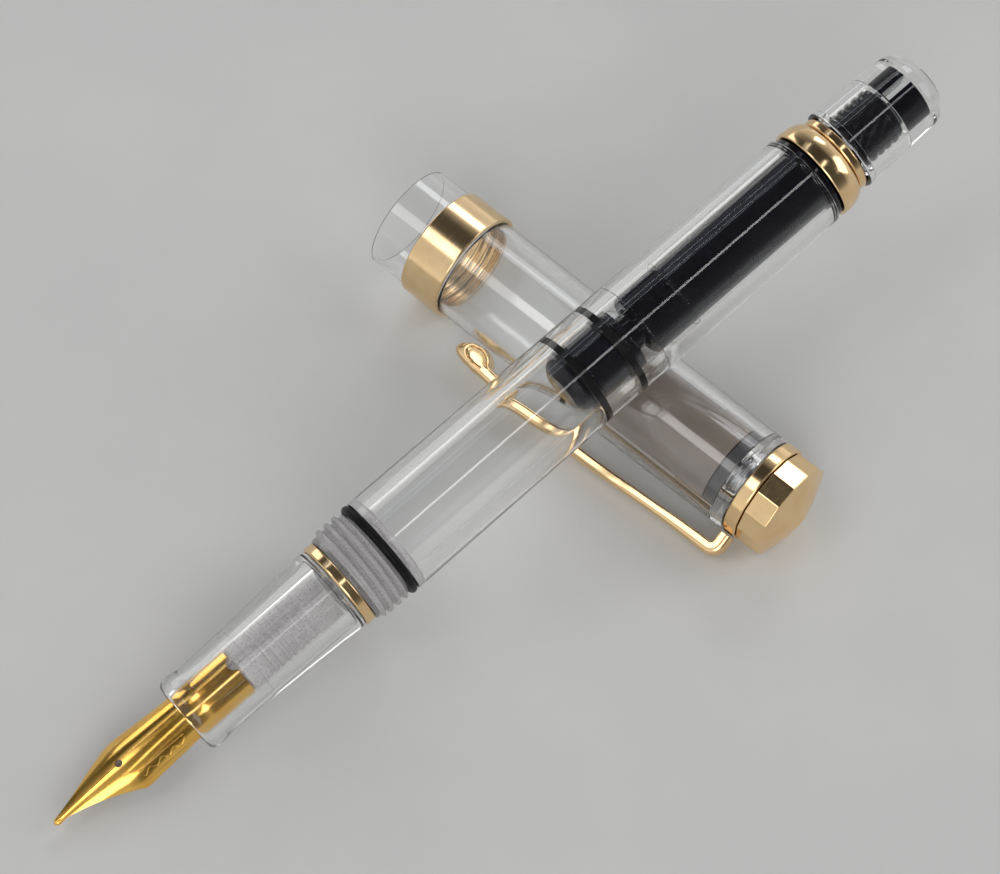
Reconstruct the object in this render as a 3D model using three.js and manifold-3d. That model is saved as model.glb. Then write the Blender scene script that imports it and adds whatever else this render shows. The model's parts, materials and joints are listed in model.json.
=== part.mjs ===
// Clear piston-filler fountain pen lying tail-up across its own cap.
// Millimetres, +Z up, the table top at z = 0.
import * as THREE from 'three';
import { mergeVertices } from 'three/addons/utils/BufferGeometryUtils.js';
import Module from 'manifold-3d';

const wasm = await Module();
wasm.setup();

// ---------------------------------------------------------------- driving dimensions
const SIDES = 24;                 // facets round every turned piece
const CLEAR = 0.3;                // working gap between neighbouring pieces
const EDGE = 0.15;                // broken edge of the metal rings

// Stations along the pen, measured from the nib's tip towards the tail.
const NIB_BASE = 26.1;
const SECTION_MOUTH = 18.2;
const LIP_STATION = 19.5;
const SECTION_END = 40.4;
const BARREL_FRONT = 41.8;
const SEAL_STATION = 47.1;
const CHAMBER_FRONT = 49.0;
const SLEEVE_FRONT = 86.0;
const BARREL_END = 112.5;
const TAIL_RING_START = 113.4;
const TAIL_RING_END = 116.4;
const KNOB_FRONT = 117.9;
const PEN_LENGTH = 131.4;

// Radii of the pen.
const LIP_R = 4.88;               // rolled lip at the section's mouth
const SECTION_WAIST_R = 4.65;
const SECTION_REAR_R = 5.4;
const FEED_BORE_R = 3.2;
const TRIM_RING_R = 5.6;
const THREAD_CREST_R = 6.2;
const THREAD_ROOT_R = 5.75;
const THREAD_PITCH = 1.15;
const THREAD_RIDGES = 4;
const BARREL_FRONT_R = 6.25;
const BARREL_CROSSING_R = 6.08;   // where the pen lies on the cap
const BARREL_REAR_R = 5.95;
const CHAMBER_R = 4.3;
const TENON_R = 3.9;
const KNOB_FRONT_R = 5.35;
const KNOB_REAR_R = 4.95;
const STUB_R = 3.5;

// The nib: a curved sheet of even thickness.
const NIB_R = 2.95;
const NIB_SHEET = 0.3;
const NIB_TIP_HEIGHT = 1.6;
const NIB_HOLE_STATION = 9.4;
const NIB_HOLE_R = 0.45;
const NIB_SLIT = 0.12;

// Stations along the cap, positive towards its mouth.
const CAP_MOUTH = 34.0;
const BAND_FRONT = 28.9;
const BAND_REAR = 23.4;
const CAP_END = -20.4;
const CLIP_RING_END = -22.2;
const FINIAL_SHOULDER = -25.4;
const FINIAL_APEX = -27.3;
const LINER_MOUTH = 3.0;
const LINER_END = -16.6;
const WASHER_END = -18.3;

// Radii of the cap.
const CAP_MOUTH_R = 6.72;
const CAP_END_R = 6.35;
const CAP_THREAD_ROOT_R = 6.35;
const CAP_THREAD_CREST_R = 6.0;
const CAP_BORE_R = 5.7;
const LINER_BORE_R = 5.2;
const BAND_R = 7.15;
const BAND_BORE_R = 6.86;
const CLIP_RING_R = 6.35;
const FINIAL_R = 6.2;
const FINIAL_SIDES = 14;
const FINIAL_TURN = THREE.MathUtils.degToRad(4.6);  // a corner's angle from the top, towards the clip

// The clip, drawn in the plane of the cap's axis.
const CLIP_OUTER_R = 10.6;        // where its arm bows furthest from the cap
const CLIP_BEND_R = 9.9;
const CLIP_THICK = 1.6;
const CLIP_WIDTH = 2.6;
const CLIP_DROP = { middle: 16.5, r: 8.45, length: 5.5, height: 3.1 };
const CLIP_DOWN = THREE.MathUtils.degToRad(29.2);   // below the horizontal, on the -X side

// How the pen lies.
const PEN_CROSSING = 86.0;        // the pen's station above the cap's axis
const CAP_CROSSING = -0.6;        // the cap's station below the pen's axis
const PEN_YAW = THREE.MathUtils.degToRad(-8.2);     // away from +X

// ---------------------------------------------------------------- materials
function finish(colour, roughness, metalness, opacity = 1) {
  return new THREE.MeshStandardMaterial({
    color: colour, roughness, metalness, opacity, transparent: opacity < 1,
  });
}

const clearAcrylic = finish(0xe8ecec, 0.05, 0.0, 0.25);
const smokeAcrylic = finish(0x7a7068, 0.15, 0.0, 0.6);
const goldPlate = finish(0xd9a94a, 0.18, 1.0);
const blackPlastic = finish(0x15151a, 0.25, 0.0);
const blackRubber = finish(0x0c0c0d, 0.6, 0.0);
const steel = finish(0xb8bcc0, 0.25, 1.0);

// ---------------------------------------------------------------- solids
function signedVolume(position, index) {
  const a = new THREE.Vector3();
  const b = new THREE.Vector3();
  const c = new THREE.Vector3();
  let volume = 0;
  for (let i = 0; i < index.length; i += 3) {
    a.fromBufferAttribute(position, index[i]);
    b.fromBufferAttribute(position, index[i + 1]);
    c.fromBufferAttribute(position, index[i + 2]);
    volume += a.dot(b.cross(c)) / 6;
  }
  return volume;
}

// Merges shared vertices, drops collapsed triangles and turns the faces outwards.
function closedGeometry(geometry) {
  const bare = new THREE.BufferGeometry();
  bare.setAttribute('position', geometry.getAttribute('position').clone());
  if (geometry.index) {
    bare.setIndex(Array.from(geometry.index.array));
  }
  const merged = mergeVertices(bare, 1e-4);
  const source = merged.index.array;
  const kept = [];
  for (let i = 0; i < source.length; i += 3) {
    const [a, b, c] = [source[i], source[i + 1], source[i + 2]];
    if (a !== b && b !== c && c !== a) {
      kept.push(a, b, c);
    }
  }
  if (signedVolume(merged.getAttribute('position'), kept) < 0) {
    for (let i = 0; i < kept.length; i += 3) {
      [kept[i + 1], kept[i + 2]] = [kept[i + 2], kept[i + 1]];
    }
  }
  merged.setIndex(kept);
  return merged;
}

function toManifold(geometry) {
  const closed = closedGeometry(geometry);
  return new wasm.Manifold(new wasm.Mesh({
    numProp: 3,
    vertProperties: new Float32Array(closed.getAttribute('position').array),
    triVerts: new Uint32Array(closed.index.array),
  }));
}

function toGeometry(manifold) {
  const mesh = manifold.getMesh();
  const geometry = new THREE.BufferGeometry();
  geometry.setAttribute('position', new THREE.BufferAttribute(mesh.vertProperties, 3));
  geometry.setIndex(new THREE.BufferAttribute(mesh.triVerts, 1));
  return geometry;
}

// A piece turned on the +X axis from [station, radius] pairs. The outline starts and ends on
// the axis, or closes on itself when `ring` is true.
function turned(outline, ring = false, sides = SIDES) {
  const points = outline.map(([station, radius]) => new THREE.Vector2(radius, station));
  if (ring) {
    points.push(points[0].clone());
  }
  const geometry = new THREE.LatheGeometry(points, sides, Math.PI / sides);
  geometry.rotateZ(-Math.PI / 2);
  return closedGeometry(geometry);
}

// A box given by its corners.
function block(low, high) {
  const size = high.map((value, axis) => value - low[axis]);
  const geometry = new THREE.BoxGeometry(...size);
  geometry.translate(...low.map((value, axis) => value + size[axis] / 2));
  return geometry;
}

// Triangular ridges standing on a cylinder, as [station, radius] pairs.
function ridges(start, count, pitch, rootR, crestR) {
  const outline = [];
  for (let i = 0; i < count; i += 1) {
    const at = start + i * pitch;
    outline.push([at, rootR], [at + pitch * 0.4, crestR], [at + pitch * 0.6, crestR]);
  }
  outline.push([start + count * pitch, rootR]);
  return outline;
}

// A curved sheet closed all round: `surface(row, column)` gives the outer point and the inner one.
function closedSheet(rows, columns, surface) {
  const vertices = [];
  const faces = [];
  const at = (side, row, column) => side * rows * columns + row * columns + column;
  for (const side of [0, 1]) {
    for (let row = 0; row < rows; row += 1) {
      for (let column = 0; column < columns; column += 1) {
        vertices.push(...surface(row, column)[side]);
      }
    }
  }
  const quad = (a, b, c, d) => faces.push(a, b, c, a, c, d);
  for (let row = 0; row < rows - 1; row += 1) {
    for (let column = 0; column < columns - 1; column += 1) {
      quad(at(0, row, column), at(0, row, column + 1), at(0, row + 1, column + 1), at(0, row + 1, column));
      quad(at(1, row, column), at(1, row + 1, column), at(1, row + 1, column + 1), at(1, row, column + 1));
    }
    quad(at(0, row, 0), at(0, row + 1, 0), at(1, row + 1, 0), at(1, row, 0));
    const last = columns - 1;
    quad(at(0, row, last), at(1, row, last), at(1, row + 1, last), at(0, row + 1, last));
  }
  for (let column = 0; column < columns - 1; column += 1) {
    quad(at(0, 0, column), at(1, 0, column), at(1, 0, column + 1), at(0, 0, column + 1));
    const end = rows - 1;
    quad(at(0, end, column), at(0, end, column + 1), at(1, end, column + 1), at(1, end, column));
  }
  const geometry = new THREE.BufferGeometry();
  geometry.setAttribute('position', new THREE.Float32BufferAttribute(vertices, 3));
  geometry.setIndex(faces);
  return closedGeometry(geometry);
}

function piece(name, geometry, material) {
  const mesh = new THREE.Mesh(geometry, material);
  mesh.name = name;
  return mesh;
}

// ---------------------------------------------------------------- nib and feed
// Rows of the nib from its tip: [station, crown height, bend radius, half angle in degrees].
const NIB_ROWS = [
  [0, NIB_TIP_HEIGHT + 0.1, 1.2, 17],
  [0.7, NIB_TIP_HEIGHT + 0.3, 1.4, 18],
  [3.4, NIB_TIP_HEIGHT + 0.62, 1.9, 34],
  [5.6, NIB_TIP_HEIGHT + 0.88, 2.6, 44],
  [7.8, NIB_TIP_HEIGHT + 1.1, 3.2, 55],
  [9.4, NIB_TIP_HEIGHT + 1.22, 3.6, 62],
  [10.4, NIB_TIP_HEIGHT + 1.27, 3.65, 71],
  [12.4, NIB_TIP_HEIGHT + 1.33, 3.4, 81],
  [15.2, NIB_R, 3.1, 89],
  [SECTION_MOUTH, NIB_R, NIB_R, 95],
  [NIB_BASE, NIB_R, NIB_R, 95],
];

function nibGeometry() {
  const columns = 11;
  const sheet = closedSheet(NIB_ROWS.length, columns, (row, column) => {
    const [station, crown, bend, half] = NIB_ROWS[row];
    const angle = THREE.MathUtils.degToRad(half) * (2 * column / (columns - 1) - 1);
    const thick = row === 0 ? NIB_SHEET * 1.6 : NIB_SHEET;
    const point = (radius) => [station, radius * Math.sin(angle), crown - bend + radius * Math.cos(angle)];
    return [point(bend), point(bend - thick)];
  });
  const hole = new THREE.CylinderGeometry(NIB_HOLE_R, NIB_HOLE_R, 4, 10);
  hole.rotateX(Math.PI / 2);
  hole.translate(NIB_HOLE_STATION, 0, NIB_R);
  const slit = block([-1, -NIB_SLIT / 2, 0], [NIB_HOLE_STATION, NIB_SLIT / 2, NIB_R + 1]);
  const notch = new THREE.CylinderGeometry(0.9, 0.9, 4, 3);
  notch.rotateX(Math.PI / 2);
  notch.translate(NIB_BASE + 0.2, 0, NIB_R);
  return toGeometry(toManifold(sheet)
    .subtract(toManifold(hole))
    .subtract(toManifold(slit))
    .subtract(toManifold(notch)));
}

function feedGeometry() {
  const underNib = NIB_R - NIB_SHEET - CLEAR;
  const body = FEED_BORE_R - CLEAR;
  const fins = 8;
  const finPitch = 0.93;
  const finsStart = 28.9;
  const outline = [[5.2, 0], [5.2, 0.35], [7.4, 1.1], [10.4, 1.9], [13.0, underNib]];
  outline.push([NIB_BASE + CLEAR, underNib], [NIB_BASE + CLEAR, body]);
  for (let i = 0; i < fins; i += 1) {
    const at = finsStart + i * finPitch;
    outline.push([at, body], [at, body - 0.7], [at + finPitch / 2, body - 0.7], [at + finPitch / 2, body]);
  }
  outline.push([39.2, body], [39.2, 0]);
  return turned(outline, false, 18);
}

// ---------------------------------------------------------------- section and barrel
function sectionGeometry() {
  const inkHole = 1.0;
  const tenonEnd = 48.3;
  return turned([
    [SECTION_MOUTH, FEED_BORE_R], [SECTION_MOUTH, LIP_R - 0.7], [SECTION_MOUTH + 0.5, LIP_R - 0.15],
    [LIP_STATION, LIP_R], [20.9, SECTION_WAIST_R], [27.8, 4.85], [34.0, 5.12],
    [39.4, SECTION_REAR_R], [SECTION_END, SECTION_REAR_R],
    [SECTION_END, TENON_R], [tenonEnd, TENON_R], [tenonEnd, inkHole],
    [39.9, inkHole], [39.9, FEED_BORE_R - 0.06], [27.8, FEED_BORE_R - 0.06], [27.8, FEED_BORE_R],
  ], true);
}

function trimRingGeometry() {
  const inner = TENON_R + CLEAR;
  return turned([
    [SECTION_END + 0.15, inner], [SECTION_END + 0.15, TRIM_RING_R - 0.15], [SECTION_END + 0.35, TRIM_RING_R],
    [BARREL_FRONT - 0.35, TRIM_RING_R], [BARREL_FRONT - 0.15, TRIM_RING_R - 0.15], [BARREL_FRONT - 0.15, inner],
  ], true);
}

function barrelGeometry() {
  const tenonBore = TENON_R + CLEAR;
  const threadStart = 42.5;
  const groove = { start: SEAL_STATION - 0.6, end: SEAL_STATION + 0.6, r: 5.1 };
  const step = { start: SLEEVE_FRONT + 0.2, end: SLEEVE_FRONT + 5.9, r: 4.45 };
  return turned([
    [BARREL_FRONT, tenonBore], [BARREL_FRONT, 5.45],
    ...ridges(threadStart, THREAD_RIDGES - 1, THREAD_PITCH, THREAD_ROOT_R, THREAD_CREST_R),
    [groove.start, THREAD_CREST_R], [groove.start, groove.r], [groove.end, groove.r],
    [groove.end, BARREL_FRONT_R - 0.05], [groove.end + 0.2, BARREL_FRONT_R],
    [PEN_CROSSING, BARREL_CROSSING_R], [BARREL_END, BARREL_REAR_R],
    [BARREL_END, CHAMBER_R + 0.05], [step.end, CHAMBER_R + 0.05], [step.end, step.r],
    [step.start, step.r], [step.start, CHAMBER_R], [CHAMBER_FRONT, CHAMBER_R], [CHAMBER_FRONT, tenonBore],
  ], true);
}

function sealRingGeometry(station, centreR, width, sides = 8) {
  const outline = [];
  for (let i = 0; i < sides; i += 1) {
    const angle = (i + 0.5) * 2 * Math.PI / sides;
    outline.push([station + width / 2 * Math.cos(angle), centreR + width / 2 * Math.sin(angle)]);
  }
  return turned(outline, true);
}

// ---------------------------------------------------------------- piston
const HEAD_FRONT = 74.7;
const HEAD_END = 84.3;
const HEAD_R = 3.95;
const SEAL_STATIONS = [77.1, 82.5];
const SEAL_GROOVE_R = 3.2;
const ROD_R = 2.3;
const ROD_END = 111.8;
const ROD_BORE_R = 1.5;

function pistonHeadGeometry() {
  const outline = [[HEAD_FRONT, 0], [HEAD_FRONT, 2.5], [HEAD_FRONT + 0.45, 3.4], [HEAD_FRONT + 1.2, HEAD_R]];
  for (const station of SEAL_STATIONS) {
    outline.push([station - 0.75, HEAD_R], [station - 0.75, SEAL_GROOVE_R]);
    outline.push([station + 0.75, SEAL_GROOVE_R], [station + 0.75, HEAD_R]);
  }
  const socket = ROD_R + CLEAR;
  outline.push([HEAD_END - 0.3, HEAD_R], [HEAD_END, HEAD_R - 0.5], [HEAD_END, socket], [78.5, socket], [78.5, 0]);
  return turned(outline);
}

function pistonSealGeometry(station) {
  const inner = SEAL_GROOVE_R + 0.15;
  const outer = CHAMBER_R - 0.06;
  return turned([
    [station - 0.5, inner], [station - 0.5, outer - 0.15], [station - 0.3, outer],
    [station + 0.3, outer], [station + 0.5, outer - 0.15], [station + 0.5, inner],
  ], true);
}

function pistonRodGeometry() {
  return turned([[79.0, ROD_BORE_R], [79.0, ROD_R], [ROD_END, ROD_R], [ROD_END, ROD_BORE_R]], true, 16);
}

// ---------------------------------------------------------------- piston guide and tail ring
const SLEEVE_R = 4.0;
const FLANGE_R = 5.6;
const STUB_END = 124.7;

function guideGeometry() {
  const bore = ROD_R + CLEAR;
  const sleeve = turned([
    [SLEEVE_FRONT, bore], [SLEEVE_FRONT, SLEEVE_R - 0.25], [SLEEVE_FRONT + 0.3, SLEEVE_R],
    [BARREL_END + 0.2, SLEEVE_R], [BARREL_END + 0.2, FLANGE_R], [BARREL_END + 0.65, FLANGE_R],
    [BARREL_END + 0.65, SLEEVE_R], [118.6, SLEEVE_R], [118.6, STUB_R - 0.3],
    ...ridges(118.9, 5, 1.1, STUB_R - 0.3, STUB_R),
    [STUB_END, STUB_R - 0.3], [STUB_END, bore],
  ], true);
  const flatHeight = 3.35;
  const flatLow = [SLEEVE_FRONT - 0.1, -SLEEVE_R - 1, flatHeight];
  const flatHigh = [SLEEVE_FRONT + 5.6, SLEEVE_R + 1, SLEEVE_R + 1];
  const topFlat = block(flatLow, flatHigh);
  const bottomFlat = block([flatLow[0], flatLow[1], -flatHigh[2]], [flatHigh[0], flatHigh[1], -flatLow[2]]);
  return toGeometry(toManifold(sleeve).subtract(toManifold(topFlat)).subtract(toManifold(bottomFlat)));
}

function tailRingGeometry() {
  const inner = SLEEVE_R + CLEAR;
  return turned([
    [TAIL_RING_START, inner], [TAIL_RING_START, BARREL_REAR_R - 0.1], [TAIL_RING_START + 0.2, BARREL_REAR_R],
    [TAIL_RING_START + 1.2, BARREL_REAR_R - 0.08], [TAIL_RING_START + 2.2, 5.7],
    [TAIL_RING_END, 5.4], [TAIL_RING_END, inner],
  ], true);
}

// ---------------------------------------------------------------- filling knob
function knobRingGeometry() {
  const inner = SLEEVE_R + CLEAR;
  return turned([
    [TAIL_RING_END + 0.25, inner], [TAIL_RING_END + 0.25, 4.85], [TAIL_RING_END + 0.45, 5.0],
    [KNOB_FRONT - 0.45, 5.0], [KNOB_FRONT - 0.2, 4.85], [KNOB_FRONT - 0.2, inner],
  ], true);
}

const KEY_R = 2.4;
const KEY_START = 125.3;
const KEY_END = 128.9;
const KEY_SLOT = [0.5, 1.4];      // a slot across the key, beside its middle
const KEY_SLOT_TURN = THREE.MathUtils.degToRad(21);

function knobGeometry() {
  const bore = SLEEVE_R + CLEAR;
  return turned([
    [PEN_LENGTH, 0], [PEN_LENGTH - 0.15, 1.8], [PEN_LENGTH - 0.7, 3.4], [PEN_LENGTH - 1.5, 4.4],
    [PEN_LENGTH - 2.4, KNOB_REAR_R], [KNOB_FRONT + 0.3, KNOB_FRONT_R], [KNOB_FRONT, KNOB_FRONT_R - 0.2],
    [KNOB_FRONT, bore], [119.0, bore], [119.0, STUB_R + CLEAR], [KEY_START - 0.3, STUB_R + CLEAR],
    [KEY_START - 0.3, KEY_R + CLEAR], [KEY_END + CLEAR, KEY_R + CLEAR], [KEY_END + CLEAR, 0],
  ]);
}

function spindleGeometry() {
  const tip = 79.2;
  const screwR = ROD_BORE_R - CLEAR;
  const shaft = turned([
    [tip, 0], [tip, screwR - 0.3], [tip + 0.4, screwR], [ROD_END + 0.5, screwR],
    [ROD_END + 0.5, 2.2], [KEY_START, 2.2], [KEY_START, KEY_R], [KEY_END, KEY_R], [KEY_END, 0],
  ], false, 16);
  const slot = block([KEY_START + 0.5, KEY_SLOT[0], -3], [KEY_END + 1, KEY_SLOT[1], 3]);
  slot.rotateX(KEY_SLOT_TURN);
  return toGeometry(toManifold(shaft).subtract(toManifold(slot)));
}

// ---------------------------------------------------------------- cap
// Outer radius of the tapered cap tube at a station.
function capRadius(station) {
  const along = (station - CAP_END) / (CAP_MOUTH - CAP_END);
  return CAP_END_R + along * (CAP_MOUTH_R - CAP_END_R);
}

function capTubeGeometry() {
  const screwHole = 2.5;
  const threadStart = 23.8;
  return turned([
    [CAP_END, screwHole], [CAP_END, CAP_END_R - 0.6], [CAP_END + 0.7, capRadius(CAP_END + 0.7)],
    [CAP_MOUTH - 0.1, CAP_MOUTH_R], [CAP_MOUTH, CAP_MOUTH_R - 0.08], [CAP_MOUTH, CAP_THREAD_ROOT_R + 0.04],
    ...ridges(threadStart, THREAD_RIDGES, THREAD_PITCH, CAP_THREAD_ROOT_R, CAP_THREAD_CREST_R).reverse(),
    [threadStart - 0.3, CAP_BORE_R], [LINER_MOUTH + 1, CAP_BORE_R], [LINER_MOUTH, LINER_BORE_R],
    [WASHER_END - CLEAR, LINER_BORE_R], [WASHER_END - CLEAR, screwHole],
  ], true);
}

function capBandGeometry() {
  return turned([
    [BAND_REAR, BAND_BORE_R], [BAND_REAR, BAND_R - EDGE], [BAND_REAR + EDGE, BAND_R],
    [BAND_FRONT - EDGE, BAND_R], [BAND_FRONT, BAND_R - EDGE], [BAND_FRONT, BAND_BORE_R],
  ], true);
}

function innerCapGeometry() {
  const outer = LINER_BORE_R - 0.2;
  const inner = 4.2;
  return turned([
    [LINER_END, 0], [LINER_END, outer], [-12.5, outer], [-12.5, outer - 0.1],
    [LINER_MOUTH - 0.4, outer - 0.1], [LINER_MOUTH, outer - 0.4], [LINER_MOUTH, inner],
    [-13.0, inner], [-14.6, 2.6], [-14.6, 0],
  ]);
}

function linerWasherGeometry() {
  const outer = LINER_BORE_R - 0.2;
  return turned([
    [WASHER_END, 2.8], [WASHER_END, outer], [LINER_END - CLEAR, outer], [LINER_END - CLEAR, 2.8],
  ], true);
}

function finialScrewGeometry() {
  const shank = 2.2;
  return turned([
    [CLIP_RING_END - 0.1, 0], [CLIP_RING_END - 0.1, shank], [LINER_END - 0.5, shank], [LINER_END - 0.5, 0],
  ], false, 16);
}

function clipRingGeometry() {
  const front = CAP_END - 0.15;
  return turned([
    [CLIP_RING_END, 2.5], [CLIP_RING_END, CLIP_RING_R - EDGE], [CLIP_RING_END + EDGE, CLIP_RING_R],
    [front - EDGE, CLIP_RING_R], [front, CLIP_RING_R - EDGE], [front, 2.5],
  ], true);
}

function finialGeometry() {
  const front = CLIP_RING_END - 0.2;
  const finial = turned([
    [FINIAL_APEX, 0], [FINIAL_APEX + 0.75, 3.0], [FINIAL_SHOULDER, FINIAL_R - 0.1],
    [FINIAL_SHOULDER + 0.2, FINIAL_R], [front - 0.2, FINIAL_R], [front, FINIAL_R - 0.2], [front, 0],
  ], false, FINIAL_SIDES);
  finial.rotateX(Math.PI / FINIAL_SIDES - FINIAL_TURN);
  return finial;
}

// Drawn with x along the cap and y away from its axis, then stood up at the clip's side.
function clipGeometry() {
  const root = CLIP_RING_END + 0.05;
  const foot = CAP_END_R + 0.4;
  const outer = [[-18, CLIP_BEND_R], [-11, CLIP_BEND_R + 0.1], [0, CLIP_OUTER_R], [5, CLIP_OUTER_R], [14, CLIP_BEND_R]];
  const inner = [...outer].reverse().map(([station, r]) => [station, r - CLIP_THICK]);
  const arm = new THREE.Shape();
  arm.moveTo(root, foot);
  arm.lineTo(root, CLIP_BEND_R - 1.9);
  arm.quadraticCurveTo(root, CLIP_BEND_R, root + 1.9, CLIP_BEND_R);
  outer.forEach(([station, r]) => arm.lineTo(station, r));
  arm.lineTo(CLIP_DROP.middle, CLIP_DROP.r + 0.5);
  arm.lineTo(CLIP_DROP.middle, CLIP_DROP.r - 0.5);
  inner.forEach(([station, r]) => arm.lineTo(station, r));
  arm.lineTo(root + CLIP_THICK + 0.6, CLIP_BEND_R - CLIP_THICK);
  arm.lineTo(root + CLIP_THICK, CLIP_BEND_R - CLIP_THICK - 0.6);
  arm.lineTo(root + CLIP_THICK, foot);
  const strip = new THREE.ExtrudeGeometry(arm, { depth: CLIP_WIDTH, bevelEnabled: false, curveSegments: 3 });
  strip.translate(0, 0, -CLIP_WIDTH / 2);
  const drop = new THREE.SphereGeometry(1, 14, 8);
  drop.scale(CLIP_DROP.length / 2, CLIP_DROP.height / 2, CLIP_WIDTH / 2 + 0.1);
  drop.translate(CLIP_DROP.middle, CLIP_DROP.r, 0);
  const clip = toGeometry(toManifold(strip).add(toManifold(drop)));
  clip.rotateX(Math.PI / 2);
  return clip;
}

// ---------------------------------------------------------------- assemblies
function buildCap() {
  const cap = new THREE.Group();
  cap.add(piece('cap_tube', capTubeGeometry(), clearAcrylic));
  cap.add(piece('cap_band', capBandGeometry(), goldPlate));
  cap.add(piece('inner_cap', innerCapGeometry(), smokeAcrylic));
  cap.add(piece('liner_washer', linerWasherGeometry(), blackRubber));
  cap.add(piece('finial_screw', finialScrewGeometry(), steel));
  cap.add(piece('clip_ring', clipRingGeometry(), goldPlate));
  cap.add(piece('finial', finialGeometry(), goldPlate));
  const clip = piece('pocket_clip', clipGeometry(), goldPlate);
  clip.rotation.x = -(Math.PI / 2 + CLIP_DOWN);
  cap.add(clip);
  return cap;
}

function buildPen() {
  const pen = new THREE.Group();
  pen.add(piece('nib', nibGeometry(), goldPlate));
  pen.add(piece('feed', feedGeometry(), clearAcrylic));
  pen.add(piece('grip_section', sectionGeometry(), clearAcrylic));
  pen.add(piece('section_trim_ring', trimRingGeometry(), goldPlate));
  pen.add(piece('barrel', barrelGeometry(), clearAcrylic));
  pen.add(piece('cap_seal_o_ring', sealRingGeometry(SEAL_STATION, 5.85, 0.95), blackRubber));
  pen.add(piece('piston_guide', guideGeometry(), blackPlastic));
  pen.add(piece('tail_ring', tailRingGeometry(), goldPlate));
  pen.add(piece('piston_head', pistonHeadGeometry(), blackPlastic));
  pen.add(piece('front_piston_seal', pistonSealGeometry(SEAL_STATIONS[0]), blackRubber));
  pen.add(piece('rear_piston_seal', pistonSealGeometry(SEAL_STATIONS[1]), blackRubber));
  pen.add(piece('piston_rod', pistonRodGeometry(), blackPlastic));
  pen.add(piece('knob_trim_ring', knobRingGeometry(), goldPlate));
  pen.add(piece('filling_knob', knobGeometry(), clearAcrylic));
  pen.add(piece('piston_spindle', spindleGeometry(), blackPlastic));
  return pen;
}

// The cap lies on flats of its wide band and of its narrower clip ring, so its mouth is a little
// higher than its closed end.
const FLAT = Math.cos(Math.PI / SIDES);
const BAND_TOUCH = BAND_REAR + EDGE;
const RING_TOUCH = CLIP_RING_END + EDGE;
const CAP_TILT = Math.atan((BAND_R - CLIP_RING_R) * FLAT / (BAND_TOUCH - RING_TOUCH));
const CAP_AXIS_HEIGHT = CLIP_RING_R * FLAT * Math.cos(CAP_TILT) - RING_TOUCH * Math.sin(CAP_TILT);

// The tail-up slope of a pen that rests on its lip and on the cap tube.
function restingTilt() {
  const between = capRadius(CAP_CROSSING) + BARREL_CROSSING_R + 0.1;
  const run = PEN_CROSSING - LIP_STATION;
  let tilt = 0.2;
  for (let i = 0; i < 20; i += 1) {
    const across = Math.hypot(Math.sin(tilt), Math.cos(tilt) * Math.cos(PEN_YAW));
    const lift = between * across / (Math.cos(tilt) * Math.cos(PEN_YAW));
    tilt = Math.asin((CAP_AXIS_HEIGHT + lift - LIP_R * Math.cos(tilt)) / run);
  }
  return tilt;
}

const PEN_TILT = restingTilt();

const cap = buildCap();
cap.rotation.set(0, -CAP_TILT, Math.PI / 2, 'ZYX');
cap.position.z = CAP_AXIS_HEIGHT;

const pen = buildPen();
pen.rotation.set(0, -PEN_TILT, PEN_YAW, 'ZYX');
const axisDirection = new THREE.Vector3(1, 0, 0).applyEuler(pen.rotation);
const crossingHeight = LIP_R * Math.cos(PEN_TILT) + (PEN_CROSSING - LIP_STATION) * Math.sin(PEN_TILT) + 0.01;
pen.position.set(0, CAP_CROSSING, crossingHeight).addScaledVector(axisDirection, -PEN_CROSSING);

// The origin is on the table, below the middle of everything that lies there.
const layout = new THREE.Group();
layout.add(cap, pen);
layout.updateMatrixWorld(true);
const middle = new THREE.Box3().setFromObject(layout, true).getCenter(new THREE.Vector3());
layout.position.set(-middle.x, -middle.y, 0);

const fountainPen = new THREE.Group();
fountainPen.add(layout);
fountainPen.updateMatrixWorld(true);

export default fountainPen;
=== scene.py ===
"""A clear piston-filler fountain pen lying across its own cap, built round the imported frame.

Every piece is drawn in millimetres in the frame of the pen or of the cap: x along the axis,
y across it, z up. Stations along the pen start at the nib's tip, and along the cap at its middle.
"""

import json
import math

import bmesh
import bpy
from mathutils import Matrix, Vector


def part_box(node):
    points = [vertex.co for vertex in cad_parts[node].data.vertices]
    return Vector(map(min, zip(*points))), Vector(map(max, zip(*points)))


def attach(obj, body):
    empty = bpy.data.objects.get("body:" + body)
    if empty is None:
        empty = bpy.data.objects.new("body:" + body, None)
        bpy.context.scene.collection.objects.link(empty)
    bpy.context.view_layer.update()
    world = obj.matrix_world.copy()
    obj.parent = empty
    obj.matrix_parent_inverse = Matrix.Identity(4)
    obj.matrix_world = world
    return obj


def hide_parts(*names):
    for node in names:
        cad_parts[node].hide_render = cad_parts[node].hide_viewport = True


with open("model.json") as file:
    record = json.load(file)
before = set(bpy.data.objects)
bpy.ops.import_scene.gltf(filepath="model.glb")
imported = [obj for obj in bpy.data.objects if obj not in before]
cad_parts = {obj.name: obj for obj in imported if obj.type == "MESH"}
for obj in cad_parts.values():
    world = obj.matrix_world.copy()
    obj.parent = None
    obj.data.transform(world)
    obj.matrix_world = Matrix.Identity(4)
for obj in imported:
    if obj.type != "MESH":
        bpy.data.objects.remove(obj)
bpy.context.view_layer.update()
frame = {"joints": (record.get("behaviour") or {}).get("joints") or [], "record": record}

MM = 0.001
TAU = 2 * math.pi
ACRYLIC_IOR = 1.49
LIGHT_DISTANCE = 1.4              # metres
FLOOR_HALF = 4.0                  # metres
FLOOR_HEIGHT = -0.06              # millimetres

# ------------------------------------------------------------------ dimensions, millimetres
SIDES = 168                       # segments round a turned piece
CONTACT = 0.012                   # how far pieces that touch sink into each other
KNOB_STATION = 125.0              # station of the knob's joint

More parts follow.
